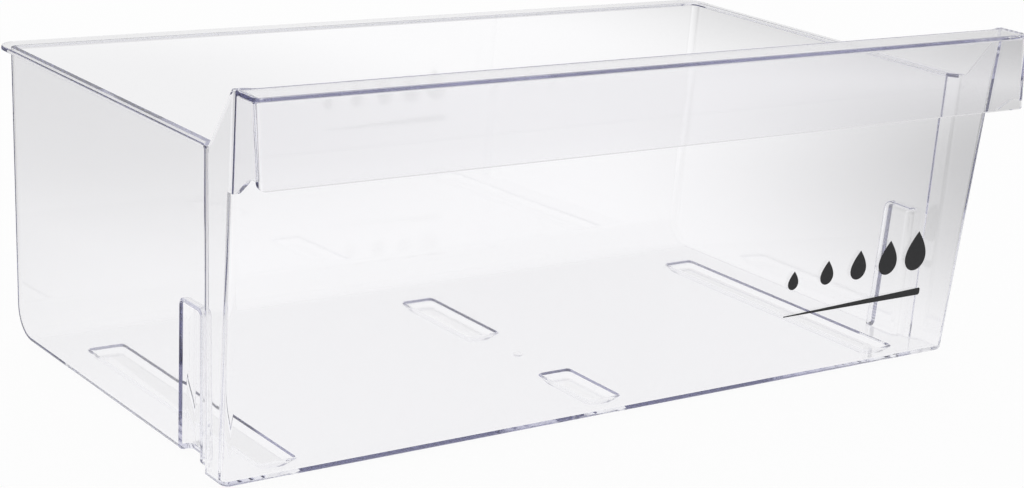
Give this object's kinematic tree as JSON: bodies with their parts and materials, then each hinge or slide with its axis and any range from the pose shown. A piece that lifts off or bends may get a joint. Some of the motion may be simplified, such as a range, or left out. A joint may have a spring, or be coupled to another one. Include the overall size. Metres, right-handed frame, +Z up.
{
  "type": "fridge crisper drawer",
  "caption": "Clear moulded fridge drawer with a leaning front panel, a hooded pull across its top and hollow skids under its floor.",
  "frame": {"origin": "middle of the overall box, at the level of the skid soles it rests on", "axes": "+X across the drawer to its right, +Y from the front panel to the back wall, +Z up"},
  "size_m": [0.4728, 0.2736, 0.1884],
  "materials": {
    "clear_plastic": "clear and glossy"
  },
  "bodies": {
    "root": {"crisper_drawer": "clear_plastic"}
  },
  "joints": []
}
